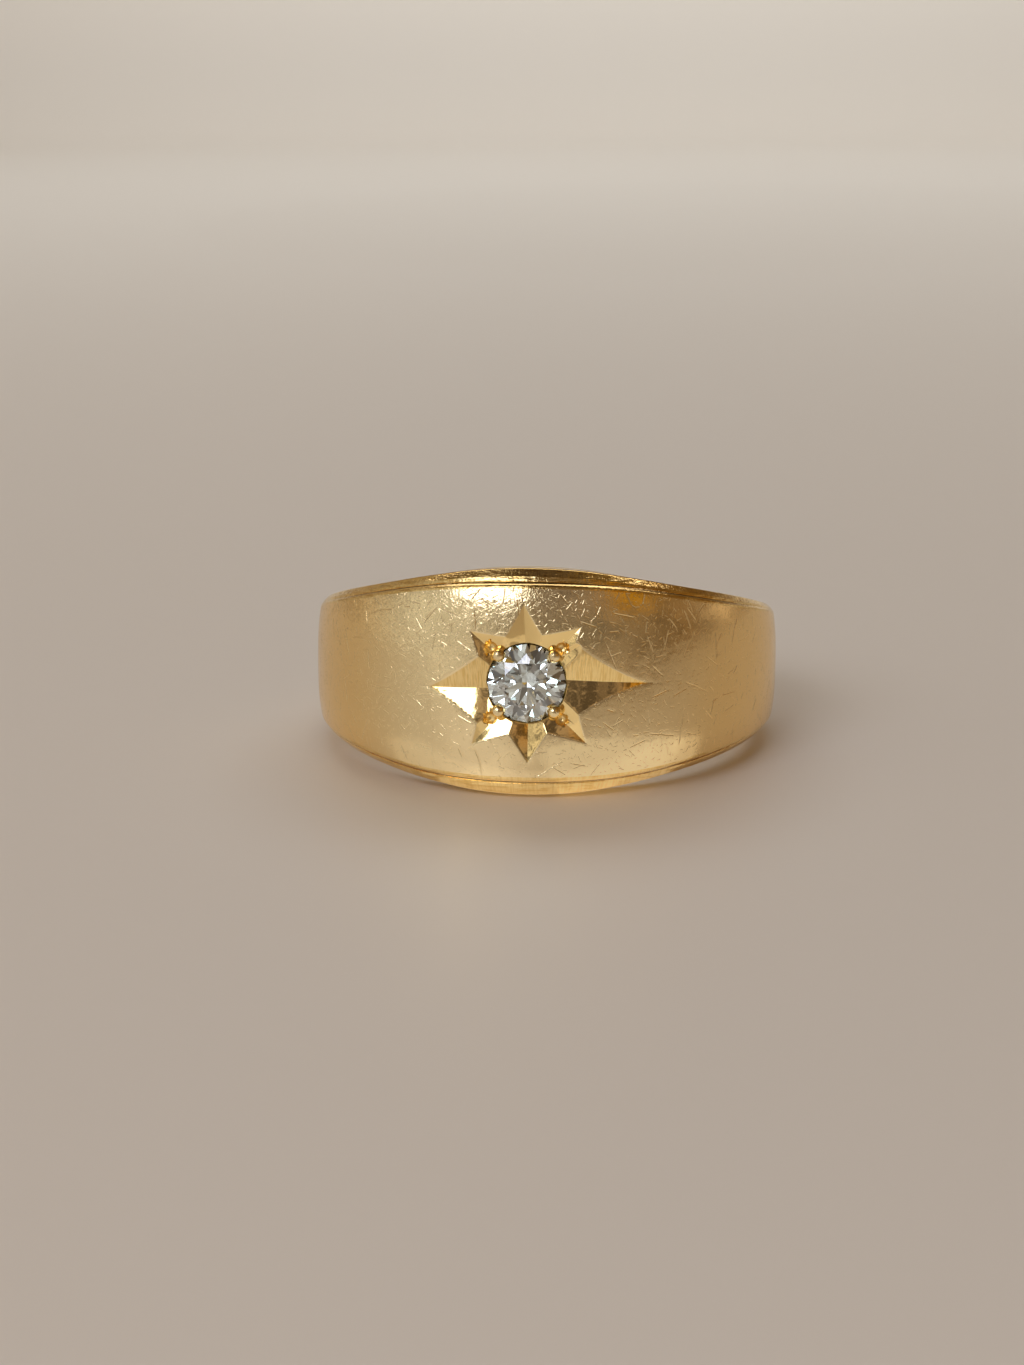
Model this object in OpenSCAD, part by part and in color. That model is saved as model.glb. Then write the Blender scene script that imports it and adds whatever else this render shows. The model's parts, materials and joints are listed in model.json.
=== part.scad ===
// Wide gypsy ring with one round brilliant in an eight-ray star cut, at rest on its side.
// It is drawn upright about its finger axis, front towards -Y, and laid down at the end.

/* [Band] */
// Finger hole, across
bore_d = 17.8; // [15:0.1:21]
// Width of the band at the middle of the head
head_w = 9.3; // [8.6:0.1:11]
// Width of the band at the back of the shank
shank_w = 3.2; // [2.4:0.1:4.2]
// Wall from the hole to the crest of the head
head_wall = 2.2; // [2.1:0.05:3]
// Wall at the two sides
side_wall = 1.3; // [1.2:0.05:1.9]
// Wall at the back
back_wall = 1.3; // [1.1:0.05:1.8]

/* [Panel and rails] */
// Fall of the panel's face from its crest to its edge, at the head
head_dome = 0.3; // [0.15:0.01:0.4]
// The same fall on the shank
shank_dome = 0.08; // [0.05:0.01:0.2]
// Width of the lower rail beside the panel, at the head
rail_w = 0.7; // [0.4:0.05:0.9]
// Height of the step from the rail up to the panel
step_h = 0.18; // [0.08:0.01:0.25]
// Fall of the rail's face from the step to its outer edge
rail_fall = 0.3; // [0.1:0.01:0.4]
// Radius of the band's outer edges
edge_r = 0.16; // [0.08:0.01:0.2]
// Radius of the edges of the finger hole
comfort_r = 0.28; // [0.15:0.01:0.35]

/* [Stone] */
// Diameter of the stone's girdle
stone_d = 3.2; // [2.4:0.05:3.4]
// Height of the table above the crest of the head
stone_proud = 0.04; // [0:0.01:0.1]
// Table, as a share of the girdle
table_share = 0.57; // [0.52:0.01:0.62]
// Slope of the crown's main facets, in degrees
crown_angle = 34.5; // [32:0.5:36]
// Slope of the pavilion's main facets, in degrees
pavilion_angle = 40.8; // [40:0.1:42]
// Thickness of the girdle
girdle_h = 0.07; // [0.04:0.01:0.12]

/* [Star setting] */
// Gap between the stone and the metal
seat_gap = 0.03; // [0.02:0.005:0.05]
// Open hole behind the stone
light_hole_d = 1.5; // [1:0.05:1.8]
// Depth of the rays at the stone
ray_depth = 0.42; // [0.3:0.01:0.5]
// Width of a ray at the stone, from its valley to one side
ray_w = 1; // [0.85:0.05:1.1]
// Reach of the long ray to the right, from the stone's centre
right_ray = 5.8; // [4:0.1:6]
// Reach of the long ray to the left
left_ray = 4.5; // [4:0.1:6]
// Reach of the ray straight up
upper_ray = 3.35; // [2.8:0.05:3.7]
// Reach of the ray straight down
lower_ray = 3.35; // [2.8:0.05:3.7]
// Reach of the ray that slants up to the right
upper_right_ray = 3.3; // [2.8:0.05:3.7]
// Reach of the ray that slants up to the left
upper_left_ray = 3.25; // [2.8:0.05:3.7]
// Reach of the ray that slants down to the left
lower_left_ray = 3.5; // [2.8:0.05:3.7]
// Reach of the ray that slants down to the right
lower_right_ray = 3.55; // [2.8:0.05:3.7]
// Reach of the two cuts that open the corners beside the long ray to the right
corner_cut = 2.75; // [2.4:0.05:2.9]
// Radius of the four grains that hold the stone
grain_r = 0.28; // [0.22:0.01:0.34]
// How far the grains reach in over the girdle
grain_grip = 0.25; // [0.15:0.01:0.3]
// Radius of the hollow that the beading tool leaves behind each grain
hollow_r = 0.26; // [0.18:0.01:0.3]

/* [Hidden] */

bore_r = bore_d / 2;
stone_r = stone_d / 2;
crest_r = bore_r + head_wall;

// Sections of one half of the band, at angles from the middle of the head.
// Width, rail and step: 1 is the head's and 0 the shank's.
ANGLE = 0;
WIDTH = 1;
RAIL = 2;
STEP = 3;
SECTIONS = [
    [0, 1, 1, 1],
    [12, 0.965, 0.86, 0.96],
    [24, 0.865, 0.57, 0.86],
    [38, 0.725, 0.43, 0.7],
    [55, 0.565, 0.37, 0.5],
    [72, 0.415, 0.2, 0.26],
    [90, 0.28, 0.05, 0.06],
    [112, 0.14, 0, 0],
    [140, 0.035, 0, 0],
    [180, 0, 0, 0],
];
// Sections are this many degrees apart
section_step = 4;

// Heights over the panel's half at which a section has points
PANEL_SHARES = [0.14, 0.28, 0.42, 0.56, 0.68, 0.8, 0.9, 1];
dome_power = 3;
// The shank's edge, where the rail has faded: its width, its fall and what is left of the step
plain_w = 0.26;
plain_fall = 0.1;
plain_step = 0.02;
// Share of the rail's fall at its middle, which rounds its face
rail_round = 0.36;
// The outer edge's radius is at most this share of the rail
edge_limit = 0.7;
// The foot of the step stands out from the panel's edge by this share of the step
step_draft = 0.6;
// The finger hole's edge turns through this much more than a right angle, and the body then
// slopes on this far into the hole before the hole is cut
comfort_turn = 60;
bore_stock = 0.12;
// The hollows' centres lie past the grains and over the girdle by this share of their radius
hollow_shift = 0.45;
// Cutters reach this far past the metal
clear = 0.5;

// Facets of the stone, and its turn about its own axis
stone_turn = 22.5;
star_share = 0.52;
lower_share = 0.77;
crown_h = (stone_r - stone_r * table_share) * tan(crown_angle);
pavilion_h = stone_r * tan(pavilion_angle);

// Rays cut by hand, so no two are alike: direction on the head in degrees from +X, reach, shares
// of the width at the stone on the left and right of its valley, how slowly it widens, and how far
// its valley lies to the left of the stone's middle. The second and the last only open the corners
// beside the long ray to the right.
DIRECTION = 0;
REACH = 1;
LEFT = 2;
RIGHT = 3;
POWER = 4;
SHIFT = 5;
RAYS = [
    [-2.3, right_ray, 1.8, 1.8, 1.7, 0.22],
    [36, corner_cut, 0.9, 2, 0.7, 0],
    [46, upper_right_ray, 1.15, 0.85, 1.1, 0],
    [92, upper_ray, 1, 0.95, 1.1, 0],
    [138, upper_left_ray, 0.85, 1.1, 1.1, 0],
    [180.5, left_ray, 1.8, 1.6, 1.3, 0.21],
    [228, lower_left_ray, 1.1, 0.95, 1.1, 0],
    [270.3, lower_ray, 1.1, 1.05, 1.1, 0.06],
    [316, lower_right_ray, 1.15, 1.1, 1.1, 0],
    [324, corner_cut, 0.9, 1.1, 0.7, 0],
];
// Places along a ray, as shares of the way from its tip to the stone
RAY_SHARES = [0, 0.15, 0.32, 0.5, 0.75, 1];
// The cut starts this far over the panel at its tip, and the cutters' upper corners lie higher
tip_lift = 0.01;
ray_lift = 0.2;

// Value of a table's column at any angle, through a smooth curve with level ends
function slope(t, c, i) =
    i == 0 || i == len(t) - 1 ? 0
    : (t[i + 1][c] - t[i - 1][c]) / (t[i + 1][ANGLE] - t[i - 1][ANGLE]);
function row_below(t, x) = max([for (i = [0:len(t) - 2]) if (t[i][ANGLE] <= x) i]);
function hermite(y0, y1, m0, m1, u) =
    y0 * (2 * u ^ 3 - 3 * u ^ 2 + 1) + m0 * (u ^ 3 - 2 * u ^ 2 + u)
    + y1 * (3 * u ^ 2 - 2 * u ^ 3) + m1 * (u ^ 3 - u ^ 2);
function column(t, c, x) =
    let (i = row_below(t, x), gap = t[i + 1][ANGLE] - t[i][ANGLE], u = (x - t[i][ANGLE]) / gap)
    hermite(t[i][c], t[i + 1][c], slope(t, c, i) * gap, slope(t, c, i + 1) * gap, u);

// Sizes of the section at angle a from the middle of the head
function turned(a) = a > 180 ? 360 - a : abs(a);
function width_share(a) = column(SECTIONS, WIDTH, turned(a));
function rail_share(a) = column(SECTIONS, RAIL, turned(a));
function step_share(a) = column(SECTIONS, STEP, turned(a));
function half_w(a) = (shank_w + (head_w - shank_w) * width_share(a)) / 2;
function rail(a) = plain_w + (rail_w - plain_w) * rail_share(a);
function step(a) = plain_step + (step_h - plain_step) * step_share(a);
function edge(a) = min(edge_r, edge_limit * rail(a));
function fall(a) = plain_fall + (rail_fall - plain_fall) * rail_share(a);
function panel_half(a) = half_w(a) - rail(a);
function dome(a) = shank_dome + (head_dome - shank_dome) * width_share(a);
function wall(a) =
    let (swing = (head_wall - back_wall) / 2, swell = (head_wall + back_wall) / 2 - side_wall)
    side_wall + swing * cos(a) + swell * cos(a) ^ 2;
function panel_r(a, z) = bore_r + wall(a) - dome(a) * abs(z / panel_half(a)) ^ dome_power;

// Upper half of a section, as [radius, height] from the panel's first point to the finger hole
function half_section(a) =
    let (
        h = half_w(a),
        p = panel_half(a),
        foot = panel_r(a, p) - step(a),
        rim = foot - fall(a),
        lip_r = bore_r + comfort_r * (1 - sin(comfort_turn)),
        lip_z = h - comfort_r * (1 - cos(comfort_turn))
    )
    concat(
        [for (s = PANEL_SHARES) [panel_r(a, s * p), s * p]],
        [
            [foot, p + step_draft * step(a)],
            [foot - rail_round * fall(a), (p + h) / 2],
            for (q = [20, 55, 90]) [rim - edge(a) * (1 - cos(q)), h - edge(a) * (1 - sin(q))],
            for (q = [0, 0.5, 1] * comfort_turn)
                [bore_r + comfort_r * (1 - sin(q)), h - comfort_r * (1 - cos(q))],
            [bore_r - bore_stock, lip_z - (lip_r - bore_r + bore_stock) * tan(comfort_turn)],
        ]
    );
function mirrored(points) = [for (i = [len(points) - 1:-1:0]) [points[i][0], -points[i][1]]];
function section(a) =
    concat(mirrored(half_section(a)), [[panel_r(a, 0), 0]], half_section(a));
function around(a, q) = [q[0] * sin(a), -q[0] * cos(a), q[1]];

section_n = 360 / section_step;
// Roundness of the grains, of the stone's holes and of the finger hole
GRAIN_FN = 48;
SEAT_FN = 64;
BORE_FN = 180;
RINGS = [for (i = [0:section_n - 1]) [for (q = section(i * section_step)) around(i * section_step, q)]];

// Pose at rest: the band tips back until its lower edge meets the ground at the front and the back
function tipped(q, t) = [q[0], q[1] * cos(t) + q[2] * sin(t), q[2] * cos(t) - q[1] * sin(t)];
function lowest(ring, t) = min([for (q = ring) tipped(q, t)[2]]);
function settled(t, tries) =
    let (rise = lowest(RINGS[section_n / 2], t) - lowest(RINGS[0], t))
    tries == 0 ? t : settled(t + asin(rise / (2 * bore_r + head_wall + back_wall)), tries - 1);
settle_tries = 8;
rest_tip = settled(0, settle_tries);
LYING = [for (ring = RINGS) for (q = ring) tipped(q, rest_tip)];
ground_z = min([for (q = LYING) q[2]]);
middle_y = (min([for (q = LYING) q[1]]) + max([for (q = LYING) q[1]])) / 2;

// A closed tube of rings of points, each joined to the next, and the last to the first
module looped(rings) {
    n = len(rings);
    m = len(rings[0]);
    polyhedron(
        points = [for (r = rings) for (q = r) q],
        faces = [
            for (i = [0:n - 1]) for (j = [0:m - 1])
                let (k = (j + 1) % m, here = i * m, next = (i + 1) % n * m)
                each [[here + j, here + k, next + k], [here + j, next + k, next + j]]
        ]
    );
}

// A solid of rings of points with a cap on its first and last ring
module capped(rings) {
    n = len(rings);
    m = len(rings[0]);
    polyhedron(
        points = [for (r = rings) for (q = r) q],
        faces = concat(
            [[for (j = [m - 1:-1:0]) j]],
            [
                for (i = [0:n - 2]) for (j = [0:m - 1])
                    let (k = (j + 1) % m, here = i * m, next = (i + 1) * m)
                    each [[here + j, here + k, next + k], [here + j, next + k, next + j]]
            ],
            [[for (j = [0:m - 1]) (n - 1) * m + j]]
        )
    );
}

// Point on the head, at arc s along it, height z and depth d under the panel's face
function on_head(s, z, d) =
    let (a = s / crest_r * 180 / PI)
    around(a, [panel_r(a, z) - d, z]);

// Point at distance t along a ray, w to the left of its valley and d under the panel's face
function on_ray(ray, t, w, d) =
    let (c = cos(ray[DIRECTION]), s = sin(ray[DIRECTION]), out = w + ray[SHIFT])
    on_head(t * c - out * s, t * s + out * c, d);

// One V-shaped cut of the star, from its tip in to the stone's centre
module ray_cut(ray) {
    run = ray[REACH] - stone_r;
    capped([
        for (u = [each RAY_SHARES, ray[REACH] / run])
            let (
                t = ray[REACH] - u * run,
                d = (ray_depth + tip_lift) * min(u, 1) ^ ray[POWER] - tip_lift,
                w = ray_w * (d + ray_lift) / ray_depth
            )
            [
                on_ray(ray, t, 0, d),
                on_ray(ray, t, w * ray[LEFT], -ray_lift),
                on_ray(ray, t, -w * ray[RIGHT], -ray_lift),
            ]
    ]);
}

// Round brilliant about +Z, its girdle's upper edge at height 0
module brilliant(d) {
    k = d / stone_d;
    r = d / 2;
    main = 360 / 8;
    half = main / 2;
    star_r = r * (table_share * cos(half) * (1 - star_share) + star_share);
    star_z = (r - star_r * cos(half)) * tan(crown_angle);
    lower_r = r * (1 - lower_share);
    lower_z = -(r - lower_r * cos(half)) * tan(pavilion_angle) - girdle_h * k;
    points = concat(
        [for (i = [0:7]) [r * table_share * cos(main * i), r * table_share * sin(main * i), crown_h * k]],
        [for (i = [0.5:7.5]) [star_r * cos(main * i), star_r * sin(main * i), star_z]],
        [for (i = [0:15]) [r * cos(half * i), r * sin(half * i), 0]],
        [for (i = [0:15]) [r * cos(half * i), r * sin(half * i), -girdle_h * k]],
        [for (i = [0.5:7.5]) [lower_r * cos(main * i), lower_r * sin(main * i), lower_z]],
        [[0, 0, -(pavilion_h + girdle_h) * k]]
    );
    // Where each ring of points starts in the list: the table's is at 0
    star = 8;
    upper = 16;
    under = 32;
    lower = 48;
    culet = 56;
    polyhedron(
        points = points,
        faces = concat(
            [[for (i = [7:-1:0]) i]],
            [for (i = [0:7]) [i, (i + 1) % 8, star + i]],
            [for (i = [0:7]) [i, star + i, upper + 2 * i, star + (i + 7) % 8]],
            [for (i = [0:7]) [star + i, upper + 2 * i + 1, upper + 2 * i]],
            [for (i = [0:7]) [star + i, upper + (2 * i + 2) % 16, upper + 2 * i + 1]],
            [for (i = [0:15]) let (n = (i + 1) % 16) [upper + i, upper + n, under + n, under + i]],
            [for (i = [0:7]) [lower + i, under + 2 * i, under + 2 * i + 1]],
            [for (i = [0:7]) [lower + i, under + 2 * i + 1, under + (2 * i + 2) % 16]],
            [for (i = [0:7]) [culet, lower + (i + 7) % 8, under + 2 * i, lower + i]]
        )
    );
}

// Puts a shape drawn about +Z, with the girdle at height 0, where the stone sits
module at_stone() {
    translate([0, -(crest_r + stone_proud - crown_h), 0])
        rotate([90, 0, 0])
            rotate([0, 0, stone_turn])
                children();
}

// Puts a copy of a shape at each of the four grains, drawn with the stone's middle towards -X
module at_grains() {
    at_stone()
        for (i = [0:3])
            rotate([0, 0, 90 * i + 45 - stone_turn])
                translate([stone_r - grain_grip + grain_r, 0, 0])
                    children();
}

module grain() {
    translate([0, 0, grain_r / 2])
        sphere(r = grain_r, $fn = GRAIN_FN);
    translate([0, 0, -grain_r])
        cylinder(r = grain_r, h = 1.5 * grain_r, $fn = GRAIN_FN);
}

module hollow() {
    translate([grain_r + hollow_shift * hollow_r, 0, hollow_shift * hollow_r])
        sphere(r = hollow_r, $fn = GRAIN_FN);
}

module head_cuts() {
    for (ray = RAYS)
        ray_cut(ray);
    at_stone()
        translate([0, 0, -girdle_h])
            cylinder(r = stone_r + 2 * seat_gap, h = head_wall, $fn = SEAT_FN);
}

module band_upright() {
    difference() {
        union() {
            difference() {
                looped(RINGS);
                head_cuts();
                at_grains()
                    hollow();
            }
            at_grains()
                grain();
        }
        at_stone() {
            brilliant(stone_d + 2 * seat_gap);
            translate([0, 0, -head_wall - clear])
                cylinder(d = light_hole_d, h = head_wall, $fn = SEAT_FN);
        }
        translate([0, 0, -head_w])
            cylinder(d = bore_d, h = 2 * head_w, $fn = BORE_FN);
    }
}

module at_rest() {
    translate([0, -middle_y, -ground_z])
        rotate([-rest_tip, 0, 0])
            children();
}

module band() {
    color([0.83, 0.62, 0.3])
        at_rest()
            band_upright();
}

module stone() {
    color([0.86, 0.9, 0.93, 0.6])
        at_rest()
            at_stone()
                brilliant(stone_d);
}

band();
stone();
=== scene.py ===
import json
import math

import bpy
import numpy as np
from mathutils import Matrix, Vector
from mathutils.geometry import delaunay_2d_cdt
from mathutils.kdtree import KDTree


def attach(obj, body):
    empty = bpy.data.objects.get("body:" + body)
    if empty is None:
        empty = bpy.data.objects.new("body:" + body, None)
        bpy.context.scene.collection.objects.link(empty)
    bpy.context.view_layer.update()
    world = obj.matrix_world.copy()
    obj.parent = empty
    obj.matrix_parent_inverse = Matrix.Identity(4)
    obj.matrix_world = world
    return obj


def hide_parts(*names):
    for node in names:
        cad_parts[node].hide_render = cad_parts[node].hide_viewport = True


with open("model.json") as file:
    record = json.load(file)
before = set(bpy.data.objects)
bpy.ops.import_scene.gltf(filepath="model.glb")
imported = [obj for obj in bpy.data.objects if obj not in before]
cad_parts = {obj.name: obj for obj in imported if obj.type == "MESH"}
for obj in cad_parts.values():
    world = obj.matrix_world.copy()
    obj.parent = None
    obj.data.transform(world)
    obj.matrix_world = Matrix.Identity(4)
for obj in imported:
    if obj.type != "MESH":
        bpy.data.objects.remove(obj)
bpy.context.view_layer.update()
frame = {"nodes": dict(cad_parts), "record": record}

# Shapes are worked out in millimetres, upright about the finger axis with the head towards -Y,
# and laid down and turned into metres when a mesh is made.
MM = 0.001

# Band
BORE_R = 8.9
HEAD_W = 9.3
SHANK_W = 3.2
HEAD_WALL = 2.2
SIDE_WALL = 1.3
BACK_WALL = 1.3
CREST_R = BORE_R + HEAD_WALL

# Panel and rails
HEAD_DOME = 0.3
SHANK_DOME = 0.08
DOME_POWER = 3
RAIL_W = 0.7
PLAIN_W = 0.26
STEP_H = 0.18
PLAIN_STEP = 0.02
STEP_DRAFT = 0.6
RAIL_FALL = 0.3
PLAIN_FALL = 0.1
EDGE_R = 0.2
EDGE_LIMIT = 0.7
COMFORT_R = 0.28

# Sections of one half of the band, at angles from the middle of the head.
# Width, rail and step: 1 is the head's and 0 the shank's.
ANGLE, WIDTH, RAIL, STEP = range(4)
SECTIONS = np.array([
    [0, 1, 1, 1],
    [12, 0.965, 0.86, 0.96],
    [24, 0.865, 0.57, 0.86],
    [38, 0.725, 0.43, 0.7],
    [55, 0.565, 0.37, 0.5],
    [72, 0.415, 0.2, 0.26],
    [90, 0.28, 0.05, 0.06],
    [112, 0.14, 0, 0],
    [140, 0.035, 0, 0],
    [180, 0, 0, 0],
])

# Stone and its seat
STONE_R = 1.6
TABLE_SHARE = 0.57
CROWN_ANGLE = math.radians(34.5)
PAVILION_ANGLE = math.radians(40.8)
GIRDLE_H = 0.07
STONE_PROUD = 0.04
SEAT_GAP = 0.03
LIGHT_HOLE_R = 0.75
CROWN_H = STONE_R * (1 - TABLE_SHARE) * math.tan(CROWN_ANGLE)
GIRDLE_Y = -(CREST_R + STONE_PROUD - CROWN_H)
GRAIN_R = 0.28
GRAIN_GRIP = 0.25
GRAIN_AT = STONE_R - GRAIN_GRIP + GRAIN_R
HOLLOW_R = 0.26
HOLLOW_SHIFT = 0.45
HOLLOW_OUT = GRAIN_AT + GRAIN_R + HOLLOW_SHIFT * HOLLOW_R
HOLLOW_Y = GIRDLE_Y - HOLLOW_SHIFT * HOLLOW_R
GRAINS = 4

# Rays cut by hand, so no two are alike: direction on the head in degrees from +X, reach, shares
# of the width at the stone on the left and right of its valley, how slowly it widens, and how far
# its valley lies to the left of the stone's middle. The second and the last only open the corners
# beside the long ray to the right.
RAY_DEPTH = 0.42
RAY_W = 1
TIP_LIFT = 0.01
DIRECTION, REACH, LEFT, RIGHT, POWER, SHIFT = range(6)
RAYS = [
    (-2.3, 5.8, 1.8, 1.8, 1.7, 0.22),
    (36, 2.75, 0.9, 1.75, 0.7, 0),
    (46, 3.3, 1.15, 0.85, 1.1, 0),
    (92, 3.35, 1, 0.95, 1.1, 0),
    (138, 3.25, 0.85, 1.1, 1.1, 0),
    (180.5, 4.5, 1.8, 1.6, 1.3, 0.21),
    (228, 3.5, 1.1, 0.95, 1.1, 0),
    (270.3, 3.35, 1.1, 1.05, 1.1, 0.06),
    (316, 3.55, 1.15, 1.1, 1.1, 0),
    (321, 2.75, 1, 1.1, 0.7, 0),
]
# Half widths, in depth, of the worn edge between the panel and a facet and between two facets
RIM_SOFT = 0.015
RIDGE_SOFT = 0.012


def column(col, a):
    """Value of a column of SECTIONS at angle a, in degrees, through a smooth curve with level ends."""
    x = np.abs((np.asarray(a, float) + 180) % 360 - 180)
    angles = SECTIONS[:, ANGLE]
    values = SECTIONS[:, col]
    slopes = np.zeros(len(values))
    slopes[1:-1] = (values[2:] - values[:-2]) / (angles[2:] - angles[:-2])
    i = np.clip(np.searchsorted(angles, x, side="right") - 1, 0, len(angles) - 2)
    gap = angles[i + 1] - angles[i]
    u = (x - angles[i]) / gap
    return (
        values[i] * (2 * u**3 - 3 * u**2 + 1)
        + slopes[i] * gap * (u**3 - 2 * u**2 + u)
        + values[i + 1] * (3 * u**2 - 2 * u**3)
        + slopes[i + 1] * gap * (u**3 - u**2)
    )


def half_width(a):
    return (SHANK_W + (HEAD_W - SHANK_W) * column(WIDTH, a)) / 2


def rail_width(a):
    return PLAIN_W + (RAIL_W - PLAIN_W) * column(RAIL, a)


def panel_half(a):
    return half_width(a) - rail_width(a)


def step_height(a):
    return PLAIN_STEP + (STEP_H - PLAIN_STEP) * column(STEP, a)


def panel_r(a, z):
    """Radius of the panel's face at angle a and height z."""
    swing = (HEAD_WALL - BACK_WALL) / 2
    swell = (HEAD_WALL + BACK_WALL) / 2 - SIDE_WALL
    c = np.cos(np.radians(a))
    dome = SHANK_DOME + (HEAD_DOME - SHANK_DOME) * column(WIDTH, a)
    fall = dome * np.abs(z / panel_half(a)) ** DOME_POWER
    return BORE_R + SIDE_WALL + swing * c + swell * c**2 - fall


# Rows of the band's fine sections. The star's patch reaches to PATCH_SHARE of the panel's half
# width. The step's corners are rounded by PANEL_CORNER at its top and STEP_CORNER at its foot, and
# by at most CORNER_LIMIT of its height. The rail bulges by RAIL_CROWN of its width, most at
# RAIL_BREAK of the way across.
PATCH_SHARE = 0.93
PANEL_ROWS = 16
BORDER_ROWS = 4
PANEL_CORNER = 0.13
STEP_CORNER = 0.09
CORNER_LIMIT = 0.45
CORNER_ROWS = 5
RAIL_PLACES = (0.14, 0.3, 0.39, 0.45, 0.51, 0.66, 0.84)
RAIL_BREAK = 0.45
ARC_ROWS = 6
SIDE_ROWS = 3
BORE_ROWS = 6
RAIL_END = math.radians(38)
RAIL_CROWN = 0.08


def corner(before, at, after, start, end):
    """Rounds the corner at a point between two others, from start before it to end after it."""
    a = at + start * unit(before - at)
    b = at + end * unit(after - at)
    return [
        (1 - u) ** 2 * a + 2 * u * (1 - u) * at + u**2 * b
        for u in np.linspace(0, 1, CORNER_ROWS)
    ]


def unit(v):
    return v / np.linalg.norm(v)


def edge_point(r, h, size, q):
    """Place on the round edge below height h and inside radius r, at angle q from its start."""
    return np.array([r - size * (1 - math.cos(q)), h - size * (1 - math.sin(q))])


def rail_points(foot, end):
    """The rail's slightly bulging face, from the foot of the step to the edge."""
    crown = RAIL_CROWN * np.linalg.norm(end - foot)
    out = unit(np.array([end[1] - foot[1], foot[0] - end[0]]))
    points = []
    for u in RAIL_PLACES:
        bulge = crown * min(u / RAIL_BREAK, (1 - u) / (1 - RAIL_BREAK))
        points.append(foot + u * (end - foot) + bulge * out)
    return points


def bore_points(h):
    """The bore's softened edge below height h, and its face down to the middle."""
    points = []
    for q in np.linspace(0, math.pi / 2, ARC_ROWS):
        r = BORE_R + COMFORT_R * (1 - math.sin(q))
        points.append(np.array([r, h - COMFORT_R * (1 - math.cos(q))]))
    for z in np.linspace(h - COMFORT_R, 0, BORE_ROWS + 1)[1:]:
        points.append(np.array([BORE_R, z]))
    return points


def half_section(a):
    """Upper half of a section, as [radius, height] from the panel's middle to the bore's middle."""
    h = float(half_width(a))
    p = float(panel_half(a))
    step = float(step_height(a))
    edge = min(EDGE_R, EDGE_LIMIT * float(rail_width(a)))
    size = min(STEP_CORNER, CORNER_LIMIT * step)
    lead = size * PANEL_CORNER / STEP_CORNER

    def face(z):
        return np.array([float(panel_r(a, z)), z])

    top = face(p)
    foot = top + [-step, STEP_DRAFT * step]
    rim = foot[0] - (PLAIN_FALL + (RAIL_FALL - PLAIN_FALL) * float(column(RAIL, a)))
    end = edge_point(rim, h, edge, RAIL_END)
    points = [face(p * v) for v in np.linspace(0, PATCH_SHARE, PANEL_ROWS)]
    points += [face(z) for z in np.linspace(p * PATCH_SHARE, p - lead, BORDER_ROWS + 1)[1:-1]]
    points += corner(face(p - lead), top, foot, lead, size)
    points += corner(top, foot, end, size, size)
    points += rail_points(foot, end)
    points += [edge_point(rim, h, edge, q) for q in np.linspace(RAIL_END, math.pi / 2, ARC_ROWS)]
    for r in np.linspace(rim - edge, BORE_R + COMFORT_R, SIDE_ROWS + 1)[1:-1]:
        points.append(np.array([r, h]))
    return np.array(points + bore_points(h))


def whole_section(a):
    upper = half_section(a)
    lower = upper[-2:0:-1] * [1, -1]
    return np.vstack([upper, lower])


def around(a, r, z):
    """Points at angles a in degrees, radii r and heights z."""
    t = np.radians(a)
    return np.stack([r * np.sin(t), -r * np.cos(t), z + 0 * r], axis=-1)


def soft_max(a, b, soft):
    """The larger of a and b, rounded where they differ by less than soft."""
    near = np.clip(soft - np.abs(a - b), 0, None)
    return np.maximum(a, b) + near**2 / (4 * soft)


def valley_depth(ray, t):
    """Depth of a ray's valley at distance t from the stone's middle."""
    u = (ray[REACH] - t) / (ray[REACH] - STONE_R)
    cut = (RAY_DEPTH + TIP_LIFT) * np.clip(u, 0, 1) ** ray[POWER] - TIP_LIFT
    return cut + RAY_DEPTH * np.minimum(u, 0)


def ray_depth(ray, s, z):
    """Depth of one ray's cut under the panel at arc s and height z, and -1 behind the stone."""
    c = math.cos(math.radians(ray[DIRECTION]))
    n = math.sin(math.radians(ray[DIRECTION]))
    t = s * c + z * n
    w = z * c - s * n - ray[SHIFT]
    slope = RAY_DEPTH / (RAY_W * np.where(w > 0, ray[LEFT], ray[RIGHT]))
    return np.where(t > 0, valley_depth(ray, t) - slope * np.abs(w), -1.0)


def angle_of(s):
    return np.degrees(s / CREST_R)


def grain_turn(k):
    """Direction of grain k from the stone's middle, in radians from +X."""
    return math.radians(90 * k + 45)


def hollow_depth(k, s, z):
    """Depth of the hollow behind grain k under the panel at arc s and height z, and -1 beside it."""
    q = grain_turn(k)
    centre = np.array([HOLLOW_OUT * math.cos(q), HOLLOW_Y, HOLLOW_OUT * math.sin(q)])
    t = np.radians(angle_of(s))
    along = centre[0] * np.sin(t) - centre[1] * np.cos(t)
    off2 = centre[0] ** 2 + centre[1] ** 2 - along**2 + (z - centre[2]) ** 2
    root = np.sqrt(np.clip(HOLLOW_R**2 - off2, 0, None))
    return np.where(off2 < HOLLOW_R**2, panel_r(angle_of(s), z) - (along - root), -1.0)


def star_depth(s, z):
    """Depth of the star and its hollows under the panel at arc s and height z."""
    cuts = np.sort(np.stack([ray_depth(ray, s, z) for ray in RAYS]), axis=0)
    depth = soft_max(soft_max(cuts[-1], cuts[-2], RIDGE_SOFT), 0 * s, RIM_SOFT)
    for k in range(GRAINS):
        depth = np.maximum(depth, hollow_depth(k, s, z))
    return depth


def bisect(f, low, high, tries=40):
    """Where f falls through 0 between low and high."""
    for _ in range(tries):
        middle = (low + high) / 2
        if f(middle) > 0:
            low = middle
        else:
            high = middle
    return (low + high) / 2


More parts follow.
